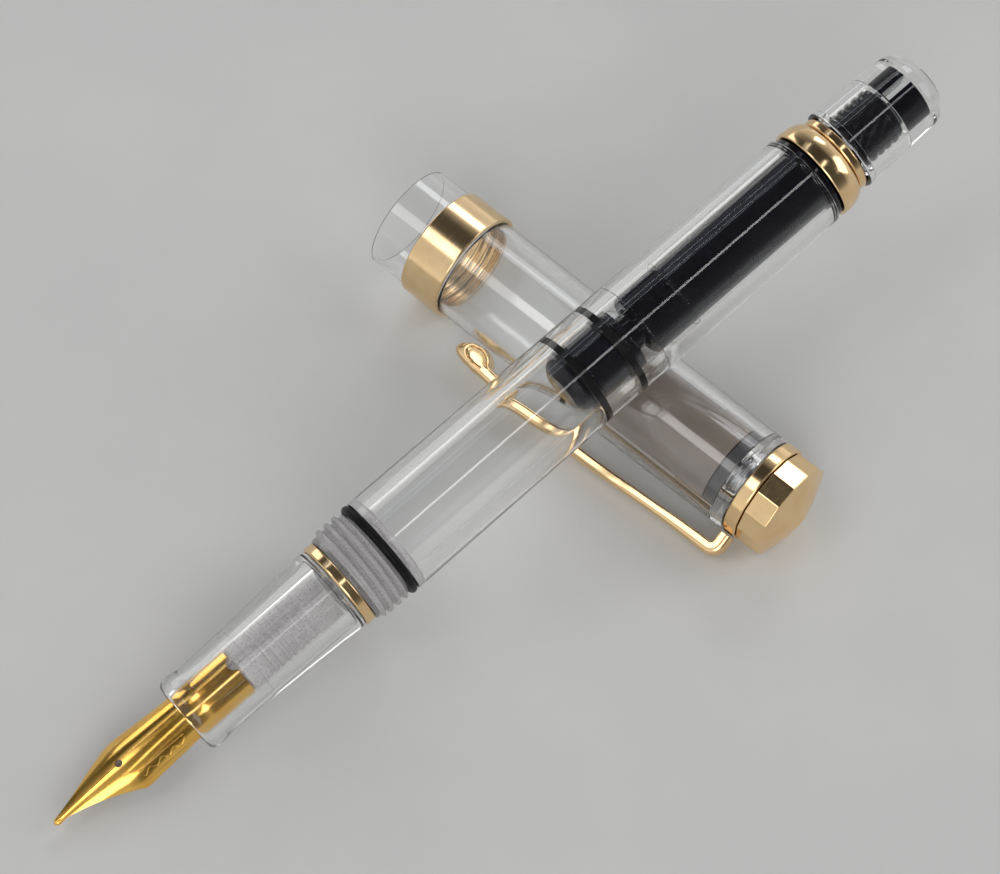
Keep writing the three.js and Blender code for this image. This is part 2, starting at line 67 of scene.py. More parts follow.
NIB_BASE = 26.1
SECTION_MOUTH = 18.2
SECTION_END = 40.4
BARREL_FRONT = 41.8
SEAL_STATION = 47.1
CHAMBER_FRONT = 49.0
SLEEVE_FRONT = 86.0
BARREL_END = 112.5
TAIL_RING_START = 113.4
TAIL_RING_END = 116.4
KNOB_FRONT = 117.9
PEN_LENGTH = 131.4

FEED_BORE_R = 3.2
TRIM_RING_R = 5.6
THREAD_CREST_R = 6.2
THREAD_ROOT_R = 5.72
THREAD_PITCH = 1.15
BARREL_R = 6.25
BARREL_MIDDLE_R = 6.08
BARREL_REAR_R = 5.95
CHAMBER_R = 4.3
TENON_R = 3.9
ROD_R = 2.3
SLEEVE_R = 4.0
STUB_R = 3.5
KEY_R = 2.4
KEY_START = 125.3
KEY_END = 128.9
KEY_SLOT = (0.5, 1.4)             # across the key, from its middle
KEY_SLOT_TURN = math.radians(21)
HEAD_FRONT = 74.7
HEAD_END = 84.3
HEAD_R = 3.95
SEAL_STATIONS = (77.1, 82.5)
NIB_SHOULDER = 10.1

CAP_MOUTH = 34.0
BAND_FRONT = 28.9
BAND_REAR = 23.4
CAP_END = -20.4
CLIP_RING_END = -22.2
FINIAL_SHOULDER = -25.4
FINIAL_APEX = -27.3
LINER_MOUTH = 3.0
LINER_END = -16.6
WASHER_END = -18.3
CAP_MOUTH_R = 6.72
CAP_END_R = 6.35
BAND_R = 7.15
CLIP_RING_R = 6.35
FINIAL_R = 6.2
FINIAL_SIDES = 14
FINIAL_TURN = math.radians(-4.6)
STUD_R = 2.2
LINER_BORE_R = 5.2


# ------------------------------------------------------------------ frames
def axis_frame(origin, along, up):
    """The matrix of a frame with x along an axis and z as near to up as it can be."""
    x = Vector(along).normalized()
    z = (Vector(up) - x * x.dot(Vector(up))).normalized()
    y = z.cross(x)
    columns = Matrix((x, y, z)).transposed().to_4x4()
    return Matrix.Translation(origin) @ columns


def joint(name):
    return next(j for j in frame["joints"] if j["name"] == name)


def mount(name):
    return next(m for m in frame["record"]["mounts"] if m["name"] == name)


def middle(node):
    low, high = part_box(node)
    return (low + high) / 2


knob_axis = Vector(joint("knob_turn")["axis"])
pen_origin = Vector(joint("knob_turn")["pos_m"]) - knob_axis * KNOB_STATION * MM
PEN = axis_frame(pen_origin, knob_axis, (0, 0, 1))

cap_axis = Vector(mount("cap_mouth_rim")["axis"])
cap_origin = middle("cap_band") - cap_axis * (BAND_FRONT + BAND_REAR) / 2 * MM
CAP = axis_frame(cap_origin, cap_axis, (0, 0, 1))
CLIP = axis_frame(cap_origin, cap_axis, Vector(joint("clip_flex")["axis"]).cross(cap_axis))


# ------------------------------------------------------------------ node materials
def node_tree(name):
    material = bpy.data.materials.new(name)
    material.use_nodes = True
    tree = material.node_tree
    return material, tree, tree.nodes["Principled BSDF"]


def coordinates(tree, scale):
    """Object coordinates in millimetres, stretched by scale."""
    where = tree.nodes.new("ShaderNodeTexCoord")
    mapping = tree.nodes.new("ShaderNodeMapping")
    mapping.inputs["Scale"].default_value = [v / MM for v in scale]
    tree.links.new(where.outputs["Object"], mapping.inputs["Vector"])
    return mapping.outputs["Vector"]


def noise(tree, scale, detail=3.0, roughness=0.55):
    texture = tree.nodes.new("ShaderNodeTexNoise")
    texture.inputs["Scale"].default_value = 1.0
    texture.inputs["Detail"].default_value = detail
    texture.inputs["Roughness"].default_value = roughness
    tree.links.new(coordinates(tree, scale), texture.inputs["Vector"])
    return texture.outputs["Fac"]


def spread(tree, value, low, high, source_low=0.3, source_high=0.7):
    """The value's usual span mapped onto low to high."""
    node = tree.nodes.new("ShaderNodeMapRange")
    node.inputs["From Min"].default_value = source_low
    node.inputs["From Max"].default_value = source_high
    node.inputs["To Min"].default_value = low
    node.inputs["To Max"].default_value = high
    tree.links.new(value, node.inputs["Value"])
    return node.outputs["Result"]


def blend_colours(tree, factor, first, second):
    ramp = tree.nodes.new("ShaderNodeValToRGB")
    ramp.color_ramp.elements[0].position = 0.35
    ramp.color_ramp.elements[1].position = 0.65
    ramp.color_ramp.elements[0].color = (*first, 1)
    ramp.color_ramp.elements[1].color = (*second, 1)
    tree.links.new(factor, ramp.inputs["Fac"])
    return ramp.outputs["Color"]


def bump(tree, shader, height, strength, depth_mm):
    node = tree.nodes.new("ShaderNodeBump")
    node.inputs["Strength"].default_value = strength
    node.inputs["Distance"].default_value = depth_mm * MM
    tree.links.new(height, node.inputs["Height"])
    tree.links.new(node.outputs["Normal"], shader.inputs["Normal"])


def surface(name, colours, grain, rough, relief, metallic=0.0, gloss=0.5):
    """An opaque finish: two close colours, a roughness span and a fine relief, all from noise."""
    material, tree, shader = node_tree(name)
    shader.inputs["Metallic"].default_value = metallic
    shader.inputs["Specular IOR Level"].default_value = gloss
    patches = noise(tree, (0.35, 0.35, 0.35), 4.0)
    fine = noise(tree, grain, 4.0, 0.65)
    tree.links.new(blend_colours(tree, patches, *colours), shader.inputs["Base Color"])
    tree.links.new(spread(tree, fine, *rough), shader.inputs["Roughness"])
    bump(tree, shader, fine, 1.0, relief)
    return material


def clear(name, tints, rough, transmission=1.0, relief=0.00012, grain=(0.8, 3.0, 3.0)):
    """Acrylic: a faint tint and faint marks of its finishing."""
    material, tree, shader = node_tree(name)
    shader.inputs["IOR"].default_value = ACRYLIC_IOR
    shader.inputs["Transmission Weight"].default_value = transmission
    patches = noise(tree, (0.12, 0.3, 0.3), 3.0)
    marks = noise(tree, grain, 3.0, 0.6)
    tree.links.new(blend_colours(tree, patches, *tints), shader.inputs["Base Color"])
    tree.links.new(spread(tree, marks, *rough), shader.inputs["Roughness"])
    bump(tree, shader, marks, 1.0, relief)
    return material


def let_lamps_through(material):
    """Lets the light of the lamps reach what is under or inside a clear piece."""
    tree = material.node_tree
    shader, output = tree.nodes["Principled BSDF"], tree.nodes["Material Output"]
    path = tree.nodes.new("ShaderNodeLightPath")
    passing = tree.nodes.new("ShaderNodeBsdfTransparent")
    passing.inputs["Color"].default_value = (0.95, 0.95, 0.95, 1)
    mix = tree.nodes.new("ShaderNodeMixShader")
    tree.links.new(path.outputs["Is Shadow Ray"], mix.inputs["Fac"])
    tree.links.new(shader.outputs["BSDF"], mix.inputs[1])
    tree.links.new(passing.outputs["BSDF"], mix.inputs[2])
    tree.links.new(mix.outputs["Shader"], output.inputs["Surface"])
    return material


CLEAR = let_lamps_through(
    clear("clear_acrylic", ((0.985, 0.99, 0.99), (0.995, 0.997, 0.995)), (0.0, 0.012)))
FROST = clear("frosted_acrylic", ((0.58, 0.56, 0.57), (0.66, 0.635, 0.65)), (0.25, 0.35),
              transmission=0.45, relief=0.0015, grain=(5, 5, 5))
SMOKE = clear("smoke_acrylic", ((0.25, 0.21, 0.18), (0.30, 0.255, 0.22)), (0.08, 0.2),
              transmission=0.4)
GOLD = surface("gold_plate", ((0.86, 0.60, 0.31), (0.93, 0.68, 0.38)), (6, 1.2, 1.2), (0.11, 0.19),
               relief=0.0006, metallic=1.0)
ROSE = surface("gold_band", ((0.80, 0.57, 0.31), (0.88, 0.65, 0.38)), (14, 0.5, 0.5), (0.12, 0.22),
               relief=0.0008, metallic=1.0)
BLACK = surface("black_plastic", ((0.002, 0.002, 0.004), (0.005, 0.005, 0.009)), (2, 2, 2),
                (0.05, 0.12), relief=0.0008, gloss=0.4)
RUBBER = surface("black_rubber", ((0.003, 0.003, 0.003), (0.007, 0.007, 0.007)), (5, 5, 5),
                 (0.28, 0.45), relief=0.004, gloss=0.12)
WASHER = surface("grey_washer", ((0.035, 0.033, 0.036), (0.055, 0.052, 0.057)), (4, 4, 4),
                 (0.3, 0.45), relief=0.003)
STEEL = surface("bright_steel", ((0.50, 0.51, 0.53), (0.62, 0.63, 0.65)), (8, 1, 1), (0.12, 0.28),
                relief=0.001, metallic=1.0)


# ------------------------------------------------------------------ building pieces
def link(name, mesh, place):
    piece = bpy.data.objects.new(name, mesh)
    bpy.context.scene.collection.objects.link(piece)
    piece.matrix_world = place
    return piece


def solid(name, vertices, faces, place):
    """A closed mesh from points in millimetres, its faces turned outwards."""
    mesh = bpy.data.meshes.new(name)
    mesh.from_pydata([[v * MM for v in p] for p in vertices], [], faces)
    work = bmesh.new()
    work.from_mesh(mesh)
    bmesh.ops.remove_doubles(work, verts=work.verts, dist=1e-8)
    bmesh.ops.recalc_face_normals(work, faces=work.faces)
    work.to_mesh(mesh)
    work.free()
    mesh.shade_smooth()
    return link(name, mesh, place)


def tube_faces(rows, around):
    """Faces that join closed rows of points one after the other, and close both ends."""
    faces = []
    for i in range(rows - 1):
        here, there = i * around, (i + 1) * around
        for k in range(around):
            n = (k + 1) % around
            faces.append((here + k, here + n, there + n, there + k))
    faces.append(tuple(range(around)))
    faces.append(tuple(range((rows - 1) * around, rows * around)))
    return faces


def filleted(outline, closed, radius):
    """The outline with each sharp corner turned into an arc that short straight runs lead into.

    A point is (station, radius) or (station, radius, fillet), in order along the outline."""
    result = []
    count = len(outline)
    for i, point in enumerate(outline):
        corner = Vector(point[:2])
        fillet = point[2] if len(point) > 2 else radius
        if fillet == 0 or (not closed and i in (0, count - 1)):
            result.append(tuple(corner))
            continue
        before = Vector(outline[i - 1][:2]) - corner
        after = Vector(outline[(i + 1) % count][:2]) - corner
        turn = math.pi - before.angle(after)
        if turn < 0.15:
            result.append(tuple(corner))
            continue
        cut = min(fillet * math.tan(turn / 2), 0.4 * before.length, 0.4 * after.length)
        bend = cut / math.tan(turn / 2)
        a, b = before.normalized(), after.normalized()
        centre = corner + (a + b).normalized() * bend / math.cos(turn / 2)
        start, end = corner + a * cut, corner + b * cut
        first, last = start - centre, end - centre
        steps = max(3, math.ceil(turn / 0.2))
        result.append(tuple(start + a * min(0.05, 0.08 * before.length)))
        for step in range(steps + 1):
            share = step / steps
            weight = math.sin(turn)
            arm = (first * (math.sin((1 - share) * turn) / weight)
                   + last * (math.sin(share * turn) / weight))
            if weight < 1e-3:
                arm = first.lerp(last, share)
            result.append(tuple(centre + arm))
        result.append(tuple(end + b * min(0.05, 0.08 * after.length)))
    return result


def turned(name, outline, place, closed=True, radius=0.08, sides=SIDES, relief=None):
    """A piece turned on the x axis. relief(station, radius, angle) is added to the radius."""
    profile = filleted(outline, closed, radius)
    rows = len(profile)
    vertices = []
    for k in range(sides):
        angle = TAU * k / sides
        for station, r in profile:
            if relief and r > 0:
                r = r + relief(station, r, angle)
            vertices.append((station, r * math.sin(angle), r * math.cos(angle)))
    faces = []
    last = rows if closed else rows - 1
    for k in range(sides):
        here, there = k * rows, (k + 1) % sides * rows
        for i in range(last):
            j = (i + 1) % rows
            corners = [here + i, here + j, there + j, there + i]
            if not closed and profile[i][1] == 0:
                corners = [here + i, here + j, there + j]
            elif not closed and profile[j][1] == 0:
                corners = [here + i, here + j, there + i]
            faces.append(corners)
    return solid(name, vertices, faces, place)


def run(start, end, r, step=0.06):
    """Close points along a straight part of an outline."""
    count = math.ceil(abs(end - start) / step)
    return [(start + (end - start) * i / count, r, 0) for i in range(count + 1)]


def smooth(t):
    t = min(1.0, max(0.0, t))
    return t * t * (3 - 2 * t)


def thread(start, end, root, height, pitch, run_out=0.5):
    """A helical ridge on the part of an outline at the root radius."""
    def relief(station, r, angle):
        if abs(r - root) > 1e-6 or not start <= station <= end:
            return 0.0
        phase = ((station - start) / pitch - angle / TAU) % 1.0
        crest = smooth((0.78 - abs(2 * phase - 1)) / 0.5)
        ends = smooth((station - start) / run_out) * smooth((end - station) / run_out)
        return height * crest * ends
    return relief


def facets(count):
    """Turns round sections into regular polygons with the same corners."""
    part = TAU / count

    def relief(station, r, angle):
        return r * (math.cos(part / 2) / math.cos(angle % part - part / 2) - 1)
    return relief


def through(points):
    """A smooth function through [x, y] points, with no overshoot."""
    xs = [p[0] for p in points]
    ys = [p[1] for p in points]
    slopes = [(ys[i + 1] - ys[i]) / (xs[i + 1] - xs[i]) for i in range(len(xs) - 1)]
    tangents = [slopes[0]]
    for a, b in zip(slopes, slopes[1:]):
        tangents.append(0.0 if a * b <= 0 else 2 * a * b / (a + b))
    tangents.append(slopes[-1])

    def at(x):
        x = min(max(x, xs[0]), xs[-1])
        i = max(k for k in range(len(xs) - 1) if xs[k] <= x)
        width = xs[i + 1] - xs[i]
        t = (x - xs[i]) / width
        return ((2 * t**3 - 3 * t**2 + 1) * ys[i] + (t**3 - 2 * t**2 + t) * width * tangents[i]
                + (3 * t**2 - 2 * t**3) * ys[i + 1] + (t**3 - t**2) * width * tangents[i + 1])
    return at


def smooth_run(points, count):
    """Close points on a smooth curve through [station, radius] points."""
    at = through(points)
    start, end = points[0][0], points[-1][0]
    stations = [start + (end - start) * i / count for i in range(count + 1)]
    return [(s, at(s), 0) for s in stations]


def block(low, high, place, turn=0.0):
    """A cutting box, turned about the x axis."""
    corners = [(x, y, z)
               for x in (low[0], high[0]) for y in (low[1], high[1]) for z in (low[2], high[2])]
    faces = [(0, 1, 3, 2), (4, 6, 7, 5), (0, 4, 5, 1), (2, 3, 7, 6), (0, 2, 6, 4), (1, 5, 7, 3)]
    return solid("cutter", corners, faces, place @ Matrix.Rotation(turn, 4, "X"))


def combine(piece, tools, operation="DIFFERENCE"):
    """The piece with each tool cut from it or joined to it."""
    for tool in tools:
        step = piece.modifiers.new("combine", "BOOLEAN")
        step.operation = operation
        step.solver = "EXACT"
        step.object = tool
    bpy.context.view_layer.update()
    graph = bpy.context.evaluated_depsgraph_get()
    made = bpy.data.meshes.new_from_object(piece.evaluated_get(graph))
    piece.modifiers.clear()
    piece.data = made
    for tool in tools:
        bpy.data.objects.remove(tool)
    return piece


def crisp(piece, degrees=30):
    piece.data.set_sharp_from_angle(angle=math.radians(degrees))
    return piece


def finish_piece(piece, material, body, node):
    piece.data.materials.clear()
    piece.data.materials.append(material)
    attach(piece, body)
    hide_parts(node)


def frost(piece, *zones):
    """A frosted finish on the faces in each zone: between two stations and inside a radius."""
    piece.data.materials.append(FROST)
    for face in piece.data.polygons:
        x, y, z = face.center / MM
        r = math.hypot(y, z)
        if any(start < x < end and r < radius for start, end, radius in zones):
            face.material_index = 1


# ------------------------------------------------------------------ nib and feed
# Rows of the nib from its tip: station, crown height, bend radius, half angle in degrees.
NIB_ROWS = (
    (0, 1.72, 1.2, 17), (0.7, 1.9, 1.4, 18), (3.4, 2.22, 1.9, 34), (5.6, 2.48, 2.6, 44),
    (7.8, 2.7, 3.2, 55), (9.2, 2.81, 3.6, 62), (NIB_SHOULDER, 2.86, 3.7, 71),
    (12.4, 2.93, 3.45, 78), (15.2, 2.95, 3.15, 87), (18.2, 2.95, 2.95, 95),
    (NIB_BASE, 2.95, 2.95, 95),
)
NIB_SHEET = 0.3
NIB_HOLE = 9.4
NIB_HOLE_R = 0.45
NIB_NOTCH_R = 0.85
SLIT_HALF = 0.05
TIP_OUTLINE = ((-0.36, 0), (-0.34, 0.13), (-0.22, 0.3), (0, 0.4), (0.5, 0.41), (1.2, 0.3), (2.2, 0))
nib_crown = through([(row[0], row[1]) for row in NIB_ROWS])
nib_bend = through([(row[0], row[2]) for row in NIB_ROWS])
half_before = through([(row[0], row[3]) for row in NIB_ROWS if row[0] <= NIB_SHOULDER])
half_behind = through([(row[0], row[3]) for row in NIB_ROWS if row[0] >= NIB_SHOULDER])


def nib_half(station):
    """Half of the nib's opening angle, with a corner at its shoulders."""
    return half_before(station) if station < NIB_SHOULDER else half_behind(station)


def nib_point(station, share, depth):
    """A point of the nib: share runs from -1 to 1 across it, depth is below its outer face."""
    angle = math.radians(nib_half(station)) * share
    bend = nib_bend(station)
    r = bend - depth
    return (station, r * math.sin(angle), nib_crown(station) - bend + r * math.cos(angle))


def sheet_solid(name, rows, columns, point, place):
    """A curved sheet of even thickness, closed all round, with its own coordinates as a UV map."""
    vertices, faces, uvs = [], [], []
    for side in (0, 1):
        for i in range(rows):
            for j in range(columns):
                vertices.append(point(i, j, side))
                uvs.append((i / (rows - 1), j / (columns - 1)))

    def at(side, i, j):
        return side * rows * columns + i * columns + j

    for i in range(rows - 1):
        for j in range(columns - 1):
            for side in (0, 1):
                faces.append((at(side, i, j), at(side, i, j + 1),
                              at(side, i + 1, j + 1), at(side, i + 1, j)))
        for j in (0, columns - 1):
            faces.append((at(0, i, j), at(0, i + 1, j), at(1, i + 1, j), at(1, i, j)))
    for j in range(columns - 1):
        for i in (0, rows - 1):
            faces.append((at(0, i, j), at(0, i, j + 1), at(1, i, j + 1), at(1, i, j)))
    piece = solid(name, vertices, faces, place)
    layer = piece.data.uv_layers.new(name="sheet")
    for loop in piece.data.loops:
        layer.data[loop.index].uv = uvs[loop.vertex_index]
    return piece


# Each engraved line: how far out from the nib's middle, of its half width, and its own half width.
ENGRAVED_LINES = ((0.80, 0.011), (0.76, 0.006), (0.48, 0.008))
VINE_PLACE = 0.62
VINE_WAVE = 0.05
VINE_HALF_WIDTH = 0.012
VINE_TURNS = 95.0                 # radians of the wave along the whole nib
ENGRAVED_FROM = (0.40, 0.42)      # shares of the nib's length over which the cut fades in
ENGRAVED_TO = (0.63, 0.65)
ENGRAVED_DEPTH = 0.03


def engraved_gold():
    """Bright nib gold with a plain double line and a wavy vine cut along each shoulder."""
    material = surface("gold_nib", ((0.98, 0.55, 0.11), (1.0, 0.61, 0.15)), (1.2, 5, 5), (0.12, 0.2),
                       relief=0.0005, metallic=1.0)
    tree = material.node_tree
    shader = tree.nodes["Principled BSDF"]
    uv = tree.nodes.new("ShaderNodeUVMap")
    uv.uv_map = "sheet"
    parts = tree.nodes.new("ShaderNodeSeparateXYZ")
    tree.links.new(uv.outputs["UV"], parts.inputs["Vector"])

    def calculate(operation, a, b=None, c=None):
        node = tree.nodes.new("ShaderNodeMath")
        node.operation = operation
        for socket, value in zip(node.inputs, (a, b, c)):
            if isinstance(value, (int, float)):
                socket.default_value = value
            elif value is not None:
                tree.links.new(value, socket)
        return node.outputs["Value"]

    along, across = parts.outputs["X"], parts.outputs["Y"]
    aside = calculate("ABSOLUTE", calculate("MULTIPLY_ADD", across, 2.0, -1.0))
    wave = calculate("SINE", calculate("MULTIPLY", along, VINE_TURNS))
    vine = calculate("ADD", calculate("MULTIPLY", wave, VINE_WAVE), VINE_PLACE)
    cut = None
    for place, width in (*ENGRAVED_LINES, (vine, VINE_HALF_WIDTH)):
        gap = calculate("ABSOLUTE", calculate("SUBTRACT", aside, place))
        groove = spread(tree, gap, 1.0, 0.0, width * 0.6, width * 1.5)
        cut = groove if cut is None else calculate("MAXIMUM", cut, groove)
    start = spread(tree, along, 0.0, 1.0, *ENGRAVED_FROM)
    end = spread(tree, along, 1.0, 0.0, *ENGRAVED_TO)
    cut = calculate("MULTIPLY", cut, calculate("MULTIPLY", start, end))
    fine = shader.inputs["Normal"].links[0].from_node
    groove_bump = tree.nodes.new("ShaderNodeBump")
    groove_bump.invert = True
    groove_bump.inputs["Distance"].default_value = ENGRAVED_DEPTH * MM
    tree.links.new(cut, groove_bump.inputs["Height"])
    tree.links.new(fine.outputs["Normal"], groove_bump.inputs["Normal"])
    tree.links.new(groove_bump.outputs["Normal"], shader.inputs["Normal"])
    return material


def upright_pin(name, station, r):
    """A cutting pin that stands up through the nib."""
    foot = Matrix.Translation((station * MM, 0, MM)) @ Matrix.Rotation(-math.pi / 2, 4, "Y")
    return turned(name, [(0, 0), (0, r), (4, r), (4, 0)], PEN @ foot, closed=False, radius=0, sides=40)


def make_nib():
    rows, columns = 190, 65

    def point(i, j, side):
        station = NIB_BASE * i / (rows - 1)
        tip = 1.5 if station < 0.4 else 1.0
        return nib_point(station, 2 * j / (columns - 1) - 1, NIB_SHEET * tip * side)

    nib = sheet_solid("gold_nib", rows, columns, point, PEN)
    slit = block((-1, -SLIT_HALF, 0), (NIB_HOLE, SLIT_HALF, 4), PEN)
    combine(nib, [upright_pin("hole", NIB_HOLE, NIB_HOLE_R), slit,
                  upright_pin("notch", NIB_BASE + 0.15, NIB_NOTCH_R)])
    ball = turned("tip", TIP_OUTLINE, PEN @ Matrix.Translation((0.1 * MM, 0, 1.47 * MM)),
                  closed=False, radius=0.3, sides=32)
    combine(nib, [ball], "UNION")
    crisp(nib, 35)
    finish_piece(nib, engraved_gold(), "barrel", "nib")


# The feed's outline, as [station, height or half width] points.
FEED_TOP = ((5.3, 1.9), (7.4, 2.1), (10.4, 2.35), (13, 2.45), (26, 2.45), (26.6, 2.9), (39.2, 2.9))
FEED_LOW = ((5.3, 1.5), (6.2, 0.95), (8.4, -0.2), (12, -1.9), (15.5, -2.7), (18.2, -2.85),
            (39.2, -2.9))
FEED_WIDE = ((5.3, 0.25), (6.2, 0.75), (8.4, 1.5), (12, 2.2), (15.5, 2.35), (26, 2.35), (26.6, 2.9),
             (39.2, 2.9))
# Parts of the feed with the count of sections in each.
FEED_PARTS = ((5.3, 18.2, 50), (18.2, 28.4, 60), (28.4, 39.2, 150))
FIN_START, FIN_END = 28.9, 36.3
FIN_PITCH = 0.93
FIN_DEPTH = 0.12                  # share of the feed's radius
CHANNEL_START = 8
CHANNEL_DEPTH = 0.45


def make_feed():
    top, low, wide = through(FEED_TOP), through(FEED_LOW), through(FEED_WIDE)
    stations = [a + (b - a) * i / count for a, b, count in FEED_PARTS for i in range(count)]
    stations.append(FEED_PARTS[-1][1])
    around = 72
    vertices = []
    for s in stations:
        wave = math.sin(TAU * (s - FIN_START) / FIN_PITCH)
        fin = smooth((wave + 0.35) / 0.5) if FIN_START < s < FIN_END else 0.0
        height, depth, width = top(s), low(s), wide(s)
        half = (height - depth) / 2
        for k in range(around):
            angle = TAU * k / around
            below = max(0.4, smooth(0.6 - math.cos(angle) * 2))
            groove = smooth((math.cos(angle) - 0.985) / 0.01) if s > CHANNEL_START else 0.0
            shrink = 1 - FIN_DEPTH * fin * below
            vertices.append((s, width * math.sin(angle) * shrink,
                             (height + depth) / 2 + half * math.cos(angle) * shrink
                             - CHANNEL_DEPTH * groove))
    feed = crisp(solid("clear_feed", vertices, tube_faces(len(stations), around), PEN), 50)
    finish_piece(feed, FROST, "barrel", "feed")


# ------------------------------------------------------------------ section and barrel
def make_section():
    lip = [(SECTION_MOUTH + 0.05, 3.55, 0), (SECTION_MOUTH, 3.9, 0), (SECTION_MOUTH + 0.08, 4.3, 0),
           (SECTION_MOUTH + 0.35, 4.62, 0), (SECTION_MOUTH + 0.8, 4.83, 0)]
    waist = smooth_run([(19.4, 4.88), (20.1, 4.84), (20.9, 4.68), (21.8, 4.65), (24.5, 4.72), (27.8, 4.85),
                        (31, 4.98), (34, 5.12), (37, 5.27), (39.6, 5.4), (SECTION_END - 0.1, 5.4)], 90)
    tenon = [(SECTION_END, 5.3), (SECTION_END, TENON_R), (48.3, TENON_R), (48.3, 1.0),
             (39.9, 1.0), (39.9, FEED_BORE_R - 0.06, 0.25), (27.8, FEED_BORE_R - 0.06, 0.02),
             (27.8, FEED_BORE_R, 0.02), (SECTION_MOUTH + 0.25, FEED_BORE_R, 0.2)]
    section = turned("clear_section", lip + waist + tenon, PEN)
    finish_piece(section, CLEAR, "barrel", "grip_section")
    frost(section, (SECTION_END + 0.3, 49, TENON_R + 0.05))
    ring = turned("section_ring", [
        (SECTION_END + 0.05, TENON_R + CONTACT), (SECTION_END + 0.05, TRIM_RING_R, 0.28),
        (BARREL_FRONT - 0.05, TRIM_RING_R, 0.28), (BARREL_FRONT - 0.05, TENON_R + CONTACT),
    ], PEN)
    finish_piece(ring, GOLD, "barrel", "section_trim_ring")


def make_barrel():
    start, end = 42.35, SEAL_STATION - 0.65
    front = [(BARREL_FRONT, 4.2), (BARREL_FRONT, THREAD_ROOT_R, 0.25)]
    threads = run(start, end, THREAD_ROOT_R)
    groove = [(end, 5.2, 0.15), (SEAL_STATION + 0.55, 5.2, 0.15), (SEAL_STATION + 0.55, 6.2, 0.1)]
    skin = [(48.1, BARREL_R, 0.3), (SLEEVE_FRONT, BARREL_MIDDLE_R), (BARREL_END, BARREL_REAR_R, 0.2)]
    step = (SLEEVE_FRONT + 0.2, SLEEVE_FRONT + 5.7)
    bore = [(BARREL_END, CHAMBER_R + 0.05, 0.15), (step[1], CHAMBER_R + 0.05, 0.03), (step[1], 4.5, 0.03),
            (step[0], 4.5, 0.03), (step[0], CHAMBER_R, 0.03), (CHAMBER_FRONT, CHAMBER_R, 0.25),
            (CHAMBER_FRONT - 0.3, 4.2, 0.1)]
    barrel = turned("clear_barrel", front + threads + groove + skin + bore, PEN,
                    relief=thread(start, end, THREAD_ROOT_R, THREAD_CREST_R - THREAD_ROOT_R, THREAD_PITCH))
    finish_piece(barrel, CLEAR, "barrel", "barrel")
    frost(barrel, (BARREL_FRONT + 0.1, CHAMBER_FRONT - 0.1, 4.3), (start, end, THREAD_CREST_R + 0.1))
    circle = [(SEAL_STATION + 0.53 * math.cos(TAU * i / 24), 5.78 + 0.53 * math.sin(TAU * i / 24), 0)
              for i in range(24)]
    finish_piece(turned("o_ring", circle, PEN), RUBBER, "barrel", "cap_seal_o_ring")


def make_tail():
    flange = BARREL_END + 0.1
    stub = (118.8, 124.5)
    root = STUB_R - 0.25
    outline = [(SLEEVE_FRONT, ROD_R + 0.3), (SLEEVE_FRONT, SLEEVE_R, 0.3),
               (flange, SLEEVE_R, 0.02), (flange, 5.6, 0.1), (flange + 0.6, 5.6, 0.1),
               (flange + 0.6, SLEEVE_R, 0.02), (118.5, SLEEVE_R), (118.5, root), *run(*stub, root),
               (124.7, root), (124.7, ROD_R + 0.3)]
    guide = turned("piston_guide_sleeve", outline, PEN, relief=thread(*stub, root, 0.3, 1.1, 0.4))
    reach = (SLEEVE_FRONT - 0.1, SLEEVE_FRONT + 5.6)
    flats = [block((reach[0], -5, 3.35), (reach[1], 5, 5), PEN),
             block((reach[0], -5, -5), (reach[1], 5, -3.35), PEN)]
    combine(guide, flats)
    finish_piece(crisp(guide), BLACK, "barrel", "piston_guide")
    dome = smooth_run([(TAIL_RING_START + 0.12, 5.93), (TAIL_RING_START + 0.6, 5.96),
                       (TAIL_RING_START + 1.4, 5.9), (TAIL_RING_START + 2.3, 5.68),
                       (TAIL_RING_END - 0.1, 5.36)], 30)
    ring = turned("tail_ring_dome", [
        (TAIL_RING_START, SLEEVE_R + 0.1), (TAIL_RING_START, 5.85), *dome,
        (TAIL_RING_END, 5.2), (TAIL_RING_END, SLEEVE_R + 0.1),
    ], PEN)
    finish_piece(ring, GOLD, "barrel", "tail_ring")


# ------------------------------------------------------------------ piston
def make_piston():
    outline = [(HEAD_FRONT, 0), (HEAD_FRONT, 2.6, 0.15), (HEAD_FRONT + 0.45, 3.35, 0.2),
               (HEAD_FRONT + 1.2, HEAD_R, 0.2)]
    for station in SEAL_STATIONS:
        outline += [(station - 0.75, HEAD_R), (station - 0.75, 3.2),
                    (station + 0.75, 3.2), (station + 0.75, HEAD_R)]
    outline += [(HEAD_END - 0.2, HEAD_R, 0.2), (HEAD_END, 3.4, 0.15), (HEAD_END, 2.2),
                (78.5, 2.2), (78.5, 0)]
    head = turned("piston_body", outline, PEN, closed=False)
    finish_piece(head, BLACK, "piston", "piston_head")
    for name, node, station in (("seal_front", "front_piston_seal", SEAL_STATIONS[0]),
                                ("seal_rear", "rear_piston_seal", SEAL_STATIONS[1])):
        seal = turned(name, [
            (station - 0.6, 3.25), (station - 0.6, HEAD_R + 0.15),
            (station - 0.45, CHAMBER_R + CONTACT, 0.1), (station + 0.45, CHAMBER_R + CONTACT, 0.1),
            (station + 0.6, HEAD_R + 0.15), (station + 0.6, 3.25),
        ], PEN)
        finish_piece(seal, RUBBER, "piston", node)
    rod = turned("piston_tube", [(79, 1.5), (79, ROD_R), (111.8, ROD_R), (111.8, 1.5)], PEN)
    finish_piece(rod, BLACK, "piston", "piston_rod")


